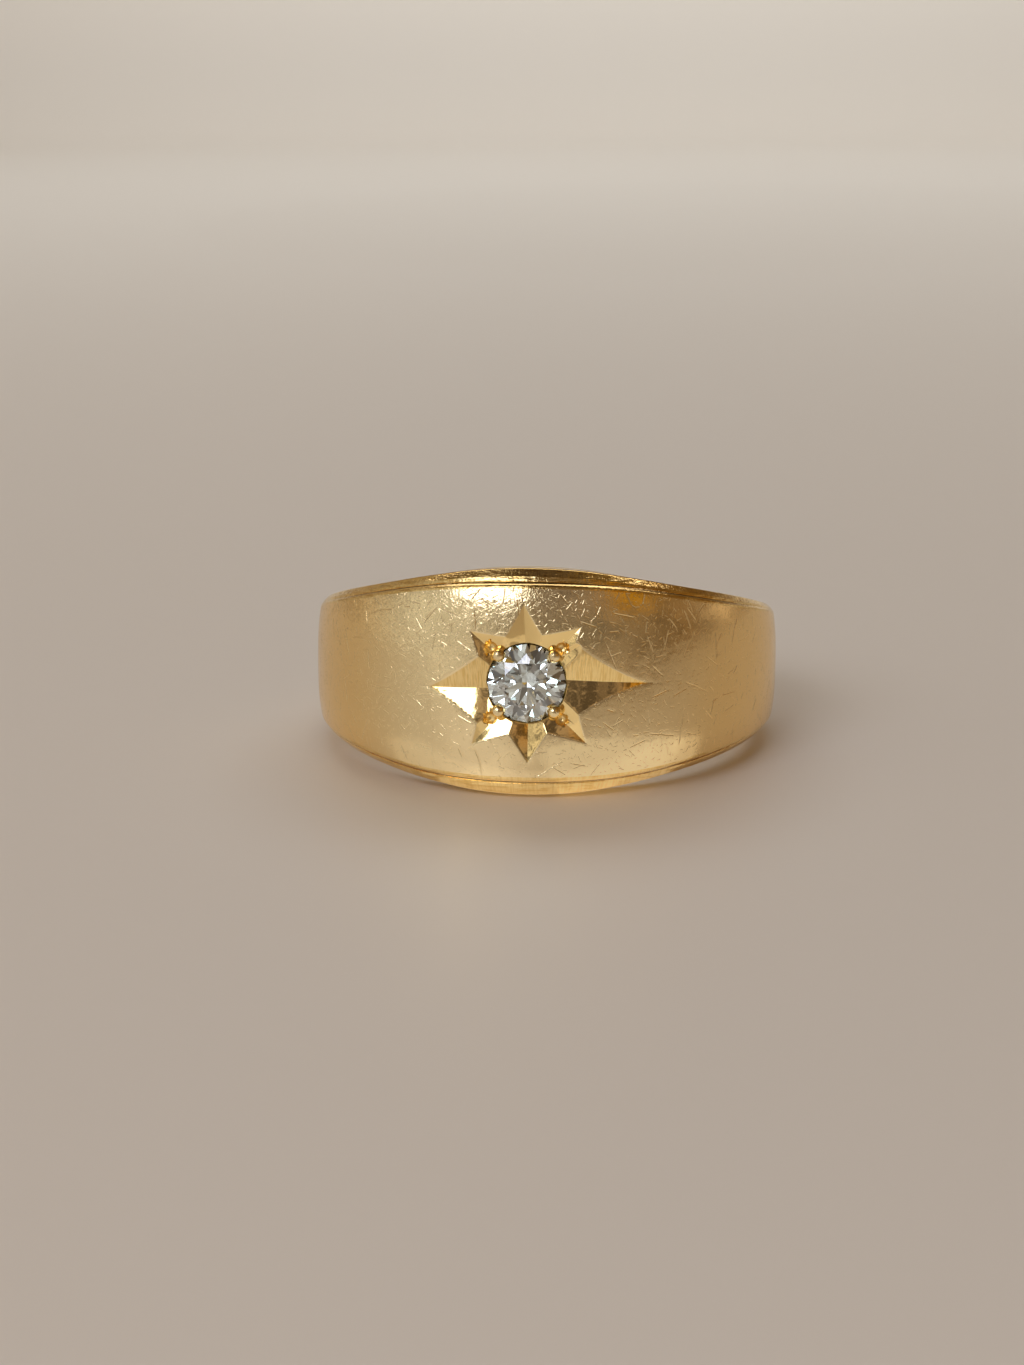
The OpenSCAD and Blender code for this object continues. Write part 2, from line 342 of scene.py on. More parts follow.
# Feature lines of the star, as lists of points (s, z): their spacing, the distance from the
# stone's middle at which they start, and how far past a ray's reach its rims may meet
LINE_STEP = 0.06
LINE_START = STONE_R * 0.8
TIP_ROOM = 0.5


def polar(rho, q):
    return rho * math.cos(q), rho * math.sin(q)


def on_ray(ray, t, w):
    """Point at distance t along a ray and w to the left of its valley."""
    q = math.radians(ray[DIRECTION])
    out = w + ray[SHIFT]
    return t * math.cos(q) - out * math.sin(q), t * math.sin(q) + out * math.cos(q)


def spaced(low, high, step=LINE_STEP):
    return np.linspace(low, high, max(2, int(math.ceil(abs(high - low) / step)) + 1))


def valley_line(ray):
    return [on_ray(ray, t, 0) for t in spaced(LINE_START, ray[REACH])]


def rim_lines(ray, side, level):
    """Lines at one depth on one side of a ray, where no other ray is deeper."""
    slope = RAY_DEPTH / (RAY_W * ray[LEFT if side > 0 else RIGHT])
    others = [other for other in RAYS if other is not ray]

    def at(t):
        return on_ray(ray, t, side * (float(valley_depth(ray, t)) - level) / slope)

    def free(t):
        s, z = at(t)
        return level - max(float(ray_depth(other, s, z)) for other in others)

    last = ray[REACH] + TIP_ROOM
    tip = bisect(lambda t: float(valley_depth(ray, t)) - level, STONE_R, last)
    lines = []
    line = []
    places = spaced(tip, LINE_START)
    for t, after in zip(places, places[1:]):
        if free(t) > 0:
            line.append(at(t))
        if free(t) > 0 >= free(after):
            line.append(at(bisect(free, t, after)))
            lines.append(line)
            line = []
        if free(t) <= 0 < free(after):
            line.append(at(bisect(free, after, t)))
    return lines + [line]


def ridge_line(ray, other, offset):
    """Line between two rays where the first is deeper than the other by offset."""
    low = math.radians(ray[DIRECTION])
    high = math.radians(other[DIRECTION] + (0 if other[DIRECTION] > ray[DIRECTION] else 360))
    line = []
    for rho in spaced(LINE_START, max(ray[REACH], other[REACH])):

        def lead(q):
            s, z = polar(rho, q)
            return float(ray_depth(ray, s, z) - ray_depth(other, s, z)) - offset

        s, z = polar(rho, bisect(lead, low, high))
        line.append((s, z))
        if float(ray_depth(ray, s, z)) < -RIM_SOFT:
            break
    return line


# Rings of a hollow, as shares of its rim, and the number of their sides
HOLLOW_SHARES = (1.01, 0.97, 0.88, 0.74, 0.56, 0.34)
HOLLOW_SIDES = 32


def hollow_lines(k):
    """Rings just outside the rim of a hollow and inside it."""
    q = grain_turn(k)
    along = CREST_R * math.asin(HOLLOW_OUT * math.cos(q) / CREST_R)
    middle = np.array([along, HOLLOW_OUT * math.sin(q)])

    def rim(turn):
        way = np.array([math.cos(turn), math.sin(turn)])

        def deeper(d):
            s, z = middle + d * way
            cuts = max(float(ray_depth(ray, s, z)) for ray in RAYS)
            return float(hollow_depth(k, s, z)) - max(cuts, 0)

        return bisect(deeper, 0, HOLLOW_R) * way

    rims = np.array([rim(turn) for turn in np.linspace(0, 2 * math.pi, HOLLOW_SIDES + 1)])
    return [[tuple(middle + share * way) for way in rims] for share in HOLLOW_SHARES]


def feature_lines():
    lines = [valley_line(ray) for ray in RAYS]
    for ray, other in zip(RAYS, RAYS[1:] + RAYS[:1]):
        for offset in (-RIDGE_SOFT, 0, RIDGE_SOFT):
            lines.append(ridge_line(ray, other, offset))
        for level in (-RIM_SOFT, 0, RIM_SOFT):
            lines += rim_lines(ray, 1, level) + rim_lines(ray, -1, level)
    for k in range(GRAINS):
        lines += hollow_lines(k)
    return lines


# Free points between the lines: spacing near the star and elsewhere, the share of it that stays
# clear round each point, how high over the panel the planes of a cut count as near, and the size
# of the grid and the rise of its rows
FINE = 0.1
COARSE = 0.2
CLEARANCE = 0.5
NEAR_STAR = -0.06
GRID_S = 7
GRID_Z = 4.2
ROW_RISE = 0.87
# Points closer than this are one
MERGE = 1e-4


def near_star(s, z):
    return np.max([ray_depth(ray, s, z) for ray in RAYS], axis=0) > NEAR_STAR


def away_from_star(s, z):
    return ~near_star(s, z)


def grid_points(step, keep):
    """A grid of staggered points over the patch, of which keep picks some."""
    s, z = np.meshgrid(np.arange(-GRID_S, GRID_S, step), np.arange(-GRID_Z, GRID_Z, step * ROW_RISE))
    s = s + step / 2 * (np.arange(s.shape[0]) % 2)[:, None]
    s, z = s.ravel(), z.ravel()
    chosen = keep(s, z)
    return np.stack([s[chosen], z[chosen]], axis=1)


def free_points(half_arc, taken):
    """Points inside the patch that keep clear of its border and of the points taken."""
    points = []
    for step, keep in ((FINE, near_star), (COARSE, away_from_star)):
        free = grid_points(step, keep)
        edge = PATCH_SHARE * panel_half(angle_of(free[:, 0]))
        inside = np.abs(free[:, 1]) < edge - CLEARANCE * step
        inside &= np.abs(free[:, 0]) < half_arc - CLEARANCE * step
        for s, z in free[inside]:
            if taken.find((s, z, 0))[2] > CLEARANCE * step:
                points.append((s, z))
    return points


def star_patch(border):
    """Triangulates the patch inside the border, a loop of (s, z). Gives its points, its faces and
    the numbers of the points that each came from."""
    points = [tuple(p) for p in border]
    edges = [(i, (i + 1) % len(border)) for i in range(len(border))]
    for line in feature_lines():
        first = len(points)
        points += [tuple(p) for p in line]
        edges += [(first + i, first + i + 1) for i in range(len(line) - 1)]
    taken = KDTree(len(points))
    for i, p in enumerate(points):
        taken.insert((p[0], p[1], 0), i)
    taken.balance()
    points += free_points(abs(border[0][0]), taken)
    made = delaunay_2d_cdt([Vector(p) for p in points], edges, [], 0, MERGE, True)
    flat = np.array([tuple(p) for p in made[0]])
    faces = np.array(made[2])
    middle = flat[faces].mean(axis=1)
    inside = np.abs(middle[:, 1]) < PATCH_SHARE * panel_half(angle_of(middle[:, 0]))
    return flat, faces[inside], made[3]


# Number of sections all round, those in the patch on each side of the head's middle, and the
# angle that these take up in degrees
SECTION_N = 360
PATCH_SECTIONS = 33
PATCH_HALF = PATCH_SECTIONS * 360 / SECTION_N


def tilt_to_rest():
    """Lays the upright ring down and turns millimetres into metres, by the finger hole's mount."""
    mount = next(m for m in frame["record"]["mounts"] if m["name"] == "finger")
    axis = Vector(mount["axis"])
    turn = Vector((0, 0, 1)).rotation_difference(axis).to_matrix().to_4x4()
    return Matrix.Translation(mount["pos_m"]) @ turn @ Matrix.Scale(MM, 4)


REST = tilt_to_rest()


def new_mesh(name, points, faces):
    mesh = bpy.data.meshes.new(name)
    mesh.from_pydata([tuple(p) for p in points], [], [tuple(int(i) for i in f) for f in faces])
    mesh.validate()
    mesh.update()
    return mesh


def new_object(name, mesh):
    made = bpy.data.objects.new(name, mesh)
    bpy.context.scene.collection.objects.link(made)
    return made


def patch_loop(row):
    """The patch's border, as pairs of a section's number and of a row in it."""
    loop = [(i, -row) for i in range(-PATCH_SECTIONS, PATCH_SECTIONS)]
    loop += [(PATCH_SECTIONS, j) for j in range(-row, row)]
    loop += [(i, row) for i in range(PATCH_SECTIONS, -PATCH_SECTIONS, -1)]
    loop += [(-PATCH_SECTIONS, j) for j in range(row, -row, -1)]
    return loop


def section_faces(n, row):
    """Faces between the sections, which have n points each, all round but for the patch."""
    patch = set()
    for i in range(-PATCH_SECTIONS, PATCH_SECTIONS):
        patch |= {(i % SECTION_N, j % n) for j in range(-row, row)}
    faces = []
    for i in range(SECTION_N):
        for j in range(n):
            if (i, j) not in patch:
                k, m = (j + 1) % n, (i + 1) % SECTION_N
                faces.append((i * n + j, m * n + j, m * n + k, i * n + k))
    return faces


def band_mesh():
    """The band upright in millimetres, closed, without the stone's seat."""
    angles = np.arange(SECTION_N) * 360 / SECTION_N
    sections = [whole_section(a) for a in angles]
    points = list(np.vstack([around(a, q[:, 0], q[:, 1]) for a, q in zip(angles, sections)]))
    n = len(sections[0])
    row = PANEL_ROWS - 1
    index = []
    border = []
    for i, j in patch_loop(row):
        index.append(i % SECTION_N * n + j % n)
        border.append((math.radians(i * 360 / SECTION_N) * CREST_R, sections[i % SECTION_N][j % n][1]))
    flat, triangles, source = star_patch(border)
    a = angle_of(flat[:, 0])
    depth = star_depth(flat[:, 0], flat[:, 1])
    placed = around(a, panel_r(a, flat[:, 1]) - depth, flat[:, 1])
    number = {}
    for v, origins in enumerate(source):
        on_border = [o for o in origins if o < len(border)]
        if on_border:
            number[v] = index[on_border[0]]
        else:
            number[v] = len(points)
            points.append(placed[v])
    faces = section_faces(n, row)
    faces += [tuple(number[v] for v in face) for face in triangles]
    return new_mesh("band", points, faces)


# Cuts for the stone, and the four grains that hold it: sides of a cut and of a grain, and how high
# the cuts reach above the girdle
ROUND_N = 128
GRAIN_N = 32
CUT_TOP = 1.5
# A grain leans over the stone. Its foot is wider than its bead by GRAIN_FLARE, its bead is lifted
# by GRAIN_LIFT of its radius, and its outline is drawn in steps of GRAIN_STEP degrees.
GRAIN_LEAN = math.radians(12)
GRAIN_FLARE = 1.1
GRAIN_LIFT = 0.5
GRAIN_STEP = 9


def revolved(name, profile, n=ROUND_N):
    """A closed solid of revolution about the stone's axis, in the stone's frame. The profile's
    points are [radius, height] and start and end on the axis."""
    points = [(0, 0, profile[0][1])]
    for r, h in profile[1:-1]:
        points += [(r * math.cos(q), r * math.sin(q), h) for q in np.arange(n) * 2 * math.pi / n]
    points.append((0, 0, profile[-1][1]))
    faces = []
    rings = len(profile) - 2
    for j in range(n):
        k = (j + 1) % n
        faces.append((0, 1 + k, 1 + j))
        for i in range(rings - 1):
            low, high = 1 + i * n, 1 + (i + 1) * n
            faces.append((low + j, low + k, high + k, high + j))
        faces.append((1 + (rings - 1) * n + j, 1 + (rings - 1) * n + k, len(points) - 1))
    return new_object(name, new_mesh(name, points, faces))


def at_stone(piece):
    """Puts a shape drawn about +Z, with the girdle's upper edge at height 0, where the stone sits."""
    turn = Matrix.Rotation(math.pi / 2, 4, "X")
    piece.data.transform(Matrix.Translation((0, GIRDLE_Y, 0)) @ turn)
    return piece


def boolean(target, tool, operation):
    """Cuts a closed mesh with another one, or joins them, and removes the other."""
    step = target.modifiers.new("cut", "BOOLEAN")
    step.operation = operation
    step.solver = "MANIFOLD"
    step.object = tool
    evaluated = target.evaluated_get(bpy.context.evaluated_depsgraph_get())
    result = bpy.data.meshes.new_from_object(evaluated)
    target.modifiers.clear()
    target.data = result
    bpy.data.objects.remove(tool)
    return target


def stone_room():
    """The space of the stone and its gap, with the light hole behind it."""
    r = STONE_R + SEAT_GAP
    wide = STONE_R + 2 * SEAT_GAP
    hole_h = -GIRDLE_H - (r - LIGHT_HOLE_R) * math.tan(PAVILION_ANGLE)
    return at_stone(revolved("room", [
        (0, -CREST_R / 2),
        (LIGHT_HOLE_R, -CREST_R / 2),
        (LIGHT_HOLE_R, hole_h),
        (r, -GIRDLE_H),
        (wide, -GIRDLE_H),
        (wide, CUT_TOP),
        (0, CUT_TOP),
    ]))


def stone_hull():
    """The stone with its gap, as a round shape that the grains are cut to."""
    r = STONE_R + SEAT_GAP
    return at_stone(revolved("hull", [
        (0, -GIRDLE_H - r * math.tan(PAVILION_ANGLE)),
        (r, -GIRDLE_H),
        (r, 0),
        (r * TABLE_SHARE, r * (1 - TABLE_SHARE) * math.tan(CROWN_ANGLE)),
        (0, r * (1 - TABLE_SHARE) * math.tan(CROWN_ANGLE)),
    ]))


def grain(k):
    """One grain: a round bead on a short neck, leaning over the stone."""
    arc = [math.radians(q) for q in range(0, 90, GRAIN_STEP)]
    profile = [(0, -GRAIN_R), (GRAIN_R * GRAIN_FLARE, -GRAIN_R)]
    lift = GRAIN_R * GRAIN_LIFT
    profile += [(GRAIN_R * math.cos(q), lift + GRAIN_R * math.sin(q)) for q in arc]
    profile.append((0, GRAIN_R * (1 + GRAIN_LIFT)))
    made = revolved("grain", profile, GRAIN_N)
    made.data.transform(Matrix.Rotation(-GRAIN_LEAN, 4, "Y"))
    made.data.transform(Matrix.Translation((GRAIN_AT, 0, 0)))
    made.data.transform(Matrix.Rotation(grain_turn(k), 4, "Z"))
    return at_stone(made)


def build_band():
    made = new_object("gold_band", band_mesh())
    boolean(made, stone_room(), "DIFFERENCE")
    for k in range(GRAINS):
        bead = grain(k)
        boolean(bead, stone_hull(), "DIFFERENCE")
        boolean(made, bead, "UNION")
    return made


band = build_band()

# The two long rays, whose upper facets show the marks of the graver
LONG_RAYS = (0, 5)

# Surface of every face of the band
PANEL_FACE, RAIL_FACE, CUT_FACE, BORE_FACE, HOLLOW_FACE = range(5)
# The least depth of a cut, how far outside the bore cuts end, how far inside the panel's edge the
# rail's finish starts, and how level a side face is
CUT_LEAST = 0.012
BORE_CLEAR = 0.05
RAIL_FROM = PANEL_CORNER * 0.8
SIDE_FLAT = 0.8
# Half width of the line of old polish and painted shade in the foot of the step
GROOVE_W = 0.05
# The widest angle between two faces that are shaded as one
SHARP = math.radians(17)


def face_kinds(mesh, a, r, z):
    """Surface of every face, by the angle, radius and height of its middle."""
    level = panel_r(a, np.clip(np.abs(z), 0, panel_half(a))) - r
    kind = np.full(len(a), PANEL_FACE)
    kind[np.abs(z) > panel_half(a) - RAIL_FROM] = RAIL_FACE
    head = (np.abs(a) < PATCH_HALF) & (np.abs(z) < PATCH_SHARE * panel_half(a))
    kind[head & (level > CUT_LEAST) & (r > BORE_R + BORE_CLEAR)] = CUT_FACE
    flat = np.abs([f.normal.z for f in mesh.polygons]) > SIDE_FLAT
    kind[(r < BORE_R + COMFORT_R) | (flat & (kind == RAIL_FACE))] = BORE_FACE
    s = np.radians(a) * CREST_R
    hollow = np.max([hollow_depth(k, s, z) for k in range(GRAINS)], axis=0)
    kind[head & (hollow > CUT_LEAST) & (np.abs(level - hollow) < CUT_LEAST)] = HOLLOW_FACE
    return kind


def above_valley(ray, s, z):
    """Whether a place is higher than the valley of a ray."""
    q = math.radians(ray[DIRECTION])
    return (z * math.cos(q) - s * math.sin(q) - ray[SHIFT]) * math.cos(q) > 0


def mark_chatter(mesh, kind, a, z):
    """Marks the faces of the long rays' upper facets."""
    s = np.radians(a) * CREST_R
    deepest = np.argmax([ray_depth(ray, s, z) for ray in RAYS], axis=0)
    upper = np.zeros(len(a), bool)
    for i in LONG_RAYS:
        upper |= (deepest == i) & above_valley(RAYS[i], s, z)
    marks = mesh.attributes.new("chatter", "FLOAT", "FACE")
    marks.data.foreach_set("value", (upper & (kind == CUT_FACE)).astype(float))


def mark_groove(mesh, turn, height):
    """Marks the points in the foot of the step, less where the step is lower, for old polish and
    painted shade there.
    """
    step = step_height(turn)
    foot = panel_half(turn) + STEP_DRAFT * step
    near = 1 - np.abs(np.abs(height) - foot) / GROOVE_W
    marks = mesh.attributes.new("groove", "FLOAT", "POINT")
    marks.data.foreach_set("value", np.clip(near, 0, 1) * step / STEP_H)


def unroll(mesh, a, turn, height):
    """Lays the band's surface out flat in millimetres, arc along and height across."""
    uv = mesh.uv_layers.new(name="unrolled")
    for face in mesh.polygons:
        for loop in face.loop_indices:
            v = mesh.loops[loop].vertex_index
            near = turn[v] + 360 * round((a[face.index] - turn[v]) / 360)
            uv.data[loop].uv = (math.radians(near) * CREST_R, height[v])


def finish_band(piece):
    """Gives the band its finishes, its marks and its unrolled surface, and lays it down."""
    mesh = piece.data
    middle = np.array([f.center for f in mesh.polygons])
    a = np.degrees(np.arctan2(middle[:, 0], -middle[:, 1]))
    r = np.hypot(middle[:, 0], middle[:, 1])
    z = middle[:, 2]
    place = np.array([v.co for v in mesh.vertices])
    turn = np.degrees(np.arctan2(place[:, 0], -place[:, 1]))
    kind = face_kinds(mesh, a, r, z)
    mesh.materials.clear()
    for made in (worn_panel(), polished_rail(), bright_cut(), plain_bore(), beaded_hollow()):
        mesh.materials.append(made)
    mesh.polygons.foreach_set("material_index", kind)
    unroll(mesh, a, turn, place[:, 2])
    mark_chatter(mesh, kind, a, z)
    mark_groove(mesh, turn, place[:, 2])
    mesh.shade_smooth()
    mesh.set_sharp_from_angle(angle=SHARP)
    mesh.transform(REST)


# Metal where it is worn, made paler in the middle as a painted reflection, polished, and darkened as
# painted shade, and polish that has dried in a groove, with painted shade
GOLD = (0.95, 0.67, 0.29)
PAINTED_PALE_GOLD = (0.96, 0.78, 0.44)
POLISHED_GOLD = (0.95, 0.71, 0.31)
PAINTED_SHADE_GOLD = (0.75, 0.48, 0.14)
OLD_POLISH_AND_SHADE = (0.16, 0.08, 0.03)
DIAMOND = (0.88, 0.99, 0.98)
DIAMOND_IOR = 2.42
MICRON = 1e-6

# Roughness of each surface, and what clouds add to the panel's
PANEL_ROUGH = 0.13
CLOUD_ROUGH = 0.06
RAIL_ROUGH = 0.09
CUT_ROUGH = 0.08
BORE_ROUGH = 0.2
HOLLOW_ROUGH = 0.3

# Noises on the unrolled band: shares of their cells along it and across it, cells in a millimetre,
# detail and roughness
CLOUDS = ((1, 1), 1.1, 4, 0.6)
SATIN = ((1, 0.25), 12, 3, 0.6)
WAVES = ((1, 1), 1.7, 2, 0.5)
SCUFFS = ((0.22, 1), 7, 2, 0.55)
STREAKS = ((0.12, 1), 8, 3, 0.6)
TICKS = ((1, 0.1), 11, 2, 0.5)
DENTS = ((1, 1), 4, 3, 0.6)
CHATTER = ((1, 0.1), 14, 2, 0.6)
UNEVEN = ((1, 1), 2.6, 2, 0.5)
RUBS = ((1, 0.1), 5, 3, 0.6)
# Their heights in microns
SATIN_HEIGHT = 4
WAVES_HEIGHT = 8
SCUFFS_HEIGHT = 9
STREAKS_HEIGHT = 22
TICKS_HEIGHT = 5
DENTS_HEIGHT = 16
CHATTER_HEIGHT = 12
UNEVEN_HEIGHT = 5
RUBS_HEIGHT = 8
# Where a value starts and ends to change, and what it is there if that isn't 0 and 1
CLOUD_FADE = (0.35, 0.65)
# The streaks', ticks' and chatter's fades give painted shade in their low parts
STREAKS_FADE = (0.5, 0.35, 0, 0.7)
TICKS_FADE = (0.6, 0.35, 0, 0.4)
CHATTER_FADE = (0.6, 0.35, 0, 0.65)
# The groove's fade gives old polish and painted shade in the foot of the step
GROOVE_FADE = (0.2, 0.8, 0, 0.85)
# The same in millimetres: the panel's middle, made paler as a painted reflection, by arc from the
# head's middle, and the scuffed part beside the highlight, by height from its foot, by arc to its end
# and by height at its top
PAINTED_PALE_FADE = (9.5, 4.5)
SCUFF_FOOT = (0.5, 2.6)
SCUFF_END = (3.6, 1.2)
SCUFF_TOP = (3.75, 3.3, 0.3, 1)
# Height of the scuffs outside that part and what it adds in it, and what it adds to the scratches
SCUFF_LEAST = 0.15
SCUFF_MORE = 0.85
SCRATCH_MORE = 0.6
# Directions of the scuffs, in degrees
SCUFF_TURNS = (32, 74, 128, 160)
# Scratches: cells in a millimetre, half width and half length, offset, share of the cells that
# have one, depth in microns, and bend
SCRATCHES = (
    (0.55, 0.036, 0.75, (3.1, 1.7), 0.8, 12.0, 0.02),
    (1.0, 0.032, 0.40, (8.4, 5.2), 0.8, 9.0, 0.012),
    (2.0, 0.026, 0.19, (1.9, 9.3), 0.7, 6.5, 0.006),
    (3.4, 0.020, 0.11, (6.6, 2.8), 0.7, 4.5, 0.004),
    (4.1, 0.018, 0.08, (4.4, 7.1), 0.7, 4.0, 0.004),
)
# Bends in a millimetre, the least length of a scratch as a share of what chance adds, and the
# share of it that is clear of its faded ends
BENDS = 2.5
LENGTH_LEAST = 0.3
LENGTH_CLEAR = 0.6


class Nodes:
    """A node tree that grows by one call at a time."""

    def __init__(self, tree):
        self.tree = tree

    def node(self, kind, **settings):
        made = self.tree.nodes.new(kind)
        for name, value in settings.items():
            setattr(made, name, value)
        return made

    def put(self, socket, value):
        if isinstance(value, bpy.types.NodeSocket):
            self.tree.links.new(value, socket)
        else:
            socket.default_value = value

    def math(self, operation, a, b=0.0, c=0.0):
        made = self.node("ShaderNodeMath", operation=operation)
        for socket, value in zip(made.inputs, (a, b, c)):
            self.put(socket, value)
        return made.outputs[0]

    def fade(self, value, start, end, low=0.0, high=1.0, kind="SMOOTHSTEP"):
        """Goes from low to high as value goes from start to end."""
        made = self.node("ShaderNodeMapRange", interpolation_type=kind)
        for socket, x in zip(made.inputs, (value, start, end, low, high)):
            self.put(socket, x)
        return made.outputs[0]

    def noise(self, place, scale, detail=2.0, roughness=0.5, dimensions="2D"):
        made = self.node("ShaderNodeTexNoise", noise_dimensions=dimensions)
        self.put(made.inputs["Vector"], place)
        made.inputs["Scale"].default_value = scale
        made.inputs["Detail"].default_value = detail
        made.inputs["Roughness"].default_value = roughness
        return made.outputs["Fac"]

    def split(self, vector):
        made = self.node("ShaderNodeSeparateXYZ")
        self.put(made.inputs[0], vector)
        return made.outputs

    def mixed(self, share, color, other):
        """One colour going over into another by the share."""
        made = self.node("ShaderNodeMixRGB")
        self.put(made.inputs["Fac"], share)
        for socket, value in zip(("Color1", "Color2"), (color, other)):
            if isinstance(value, tuple):
                made.inputs[socket].default_value = (*value, 1)
            else:
                self.put(made.inputs[socket], value)
        return made.outputs[0]


class Shader(Nodes):
    """A material and the nodes in it."""

    def __init__(self, name):
        self.material = bpy.data.materials.new(name)
        self.material.use_nodes = True
        super().__init__(self.material.node_tree)
        self.principled = self.tree.nodes["Principled BSDF"]

    def surface(self, **values):
        """Sets the surface's own values, by their names with _ for a space."""
        for name, value in values.items():
            self.put(self.principled.inputs[name.replace("_", " ")], value)

    def unrolled(self, scale=(1, 1), offset=(0, 0)):
        """Place on the unrolled band in millimetres, scaled and then moved."""
        place = self.node("ShaderNodeUVMap", uv_map="unrolled")
        made = self.node("ShaderNodeMapping")
        self.put(made.inputs["Vector"], place.outputs[0])
        made.inputs["Scale"].default_value = (*scale, 1)
        made.inputs["Location"].default_value = (*offset, 0)
        return made.outputs[0]

    def turned(self, degrees, scale):
        """The unrolled place turned, then stretched."""
        turn = self.node("ShaderNodeMapping")
        self.put(turn.inputs["Vector"], self.unrolled())
        turn.inputs["Rotation"].default_value = (0, 0, math.radians(degrees))
        made = self.node("ShaderNodeMapping")
        self.put(made.inputs["Vector"], turn.outputs[0])
        made.inputs["Scale"].default_value = (*scale, 1)
        return made.outputs[0]

    def mark(self, shares, *kind, turn=0):
        """A noise on the unrolled band, turned by some degrees."""
        place = self.turned(turn, shares) if turn else self.unrolled(shares)
        return self.noise(place, *kind)

    def scratches(self, cells, half_width, half_length, offset, share, bend):
        """Short scratches, one in each of the cells in every millimetre, some left out."""
        place = self.unrolled(offset=offset)
        cell = self.node("ShaderNodeTexVoronoi", voronoi_dimensions="2D", feature="F1")
        self.put(cell.inputs["Vector"], place)
        cell.inputs["Scale"].default_value = cells
        away = self.node("ShaderNodeVectorMath", operation="SUBTRACT")
        self.put(away.inputs[0], place)
        self.put(away.inputs[1], cell.outputs["Position"])
        chance = self.node("ShaderNodeSeparateColor")
        self.put(chance.inputs[0], cell.outputs["Color"])
        turn = self.math("MULTIPLY", chance.outputs[0], math.pi)
        c = self.math("COSINE", turn)
        n = self.math("SINE", turn)
        x, y, _ = self.split(away.outputs[0])
        along = self.math("ADD", self.math("MULTIPLY", x, c), self.math("MULTIPLY", y, n))
        across = self.math("SUBTRACT", self.math("MULTIPLY", y, c), self.math("MULTIPLY", x, n))
        wave = self.math("MULTIPLY_ADD", self.noise(place, BENDS), 2 * bend, -bend)
        across = self.math("ADD", across, wave)
        least = half_length * LENGTH_LEAST
        length = self.math("MULTIPLY_ADD", chance.outputs[1], half_length, least)
        line = self.fade(self.math("ABSOLUTE", across), half_width, 0)
        reach = self.math("DIVIDE", self.math("ABSOLUTE", along), length)
        ends = self.fade(reach, 1, LENGTH_CLEAR)
        kept = self.math("LESS_THAN", chance.outputs[2], share)
        return self.math("MULTIPLY", self.math("MULTIPLY", line, ends), kept)

    def bump(self, height, depth, normal=None):
        made = self.node("ShaderNodeBump")
        made.inputs["Distance"].default_value = depth
        self.put(made.inputs["Height"], height)
        if normal is not None:
            self.put(made.inputs["Normal"], normal)
        return made.outputs[0]


def gold(name, roughness, color=POLISHED_GOLD):
    shader = Shader(name)
    shader.surface(Base_Color=(*color, 1), Metallic=1, Roughness=roughness)
    return shader


def scuffed_part(shader, x, y):
    """1 in the scuffed part of the panel beside the highlight, and less outside it."""
    part = shader.math("MULTIPLY", shader.fade(y, *SCUFF_FOOT), shader.fade(x, *SCUFF_END))
    return shader.math("MULTIPLY", part, shader.fade(y, *SCUFF_TOP))


def panel_relief(shader, scuffed):
    """Height of the panel's satin, waves, scuffs and scratches, in microns. It is all one sum for
    one bump, as a long chain of bumps is more than the renderer takes."""
    height = shader.math("MULTIPLY", shader.mark(*SATIN), SATIN_HEIGHT)
    height = shader.math("MULTIPLY_ADD", shader.mark(*WAVES), WAVES_HEIGHT, height)
    more = shader.math("MULTIPLY_ADD", scuffed, SCUFF_MORE, SCUFF_LEAST)
    for turn in SCUFF_TURNS:
        scuffs = shader.math("MULTIPLY", shader.mark(*SCUFFS, turn=turn), more)
        height = shader.math("MULTIPLY_ADD", scuffs, SCUFFS_HEIGHT, height)
    more = shader.math("MULTIPLY_ADD", scuffed, SCRATCH_MORE, 1)
    for cells, width, length, offset, share, depth, bend in SCRATCHES:
        lines = shader.scratches(cells, width, length, offset, share, bend)
        lines = shader.math("MULTIPLY", lines, more)
        height = shader.math("MULTIPLY_ADD", lines, -depth, height)
    return height


def worn_panel():
    """Polish gone satin, scuffed, with scratches of all lengths, and made paler in the middle as a
    painted reflection.
    """
    shader = gold("gold_panel", PANEL_ROUGH)
    x, y, _ = shader.split(shader.unrolled())
    # Painted reflection: the panel's gold goes paler towards the head's middle
    painted_pale = shader.fade(shader.math("ABSOLUTE", x), *PAINTED_PALE_FADE)
    cloud = shader.fade(shader.mark(*CLOUDS), *CLOUD_FADE)
    relief = panel_relief(shader, scuffed_part(shader, x, y))
    shader.surface(
        Base_Color=shader.mixed(painted_pale, GOLD, PAINTED_PALE_GOLD),
        Roughness=shader.math("MULTIPLY_ADD", cloud, CLOUD_ROUGH, PANEL_ROUGH),
        Normal=shader.bump(relief, MICRON),
    )
    return shader.material


def polished_rail():
    """Streaks along the rail and fine ticks across it, with painted shade in their low parts, and a
    dark line of old polish and painted shade in the foot of the step.
    """
    shader = gold("gold_rail", RAIL_ROUGH)
    groove = shader.node("ShaderNodeAttribute", attribute_name="groove").outputs["Fac"]
    streaks = shader.mark(*STREAKS)
    ticks = shader.mark(*TICKS)
    # Painted shade in the low parts of the ticks and streaks
    color = shader.mixed(shader.fade(ticks, *TICKS_FADE), POLISHED_GOLD, PAINTED_SHADE_GOLD)
    color = shader.mixed(shader.fade(streaks, *STREAKS_FADE), color, PAINTED_SHADE_GOLD)
    # Old polish and painted shade in the foot of the step
    color = shader.mixed(shader.fade(groove, *GROOVE_FADE), color, OLD_POLISH_AND_SHADE)
    normal = shader.bump(streaks, STREAKS_HEIGHT * MICRON)
    normal = shader.bump(ticks, TICKS_HEIGHT * MICRON, normal)
    normal = shader.bump(shader.mark(*DENTS), DENTS_HEIGHT * MICRON, normal)
    shader.surface(Base_Color=color, Normal=normal)
    return shader.material


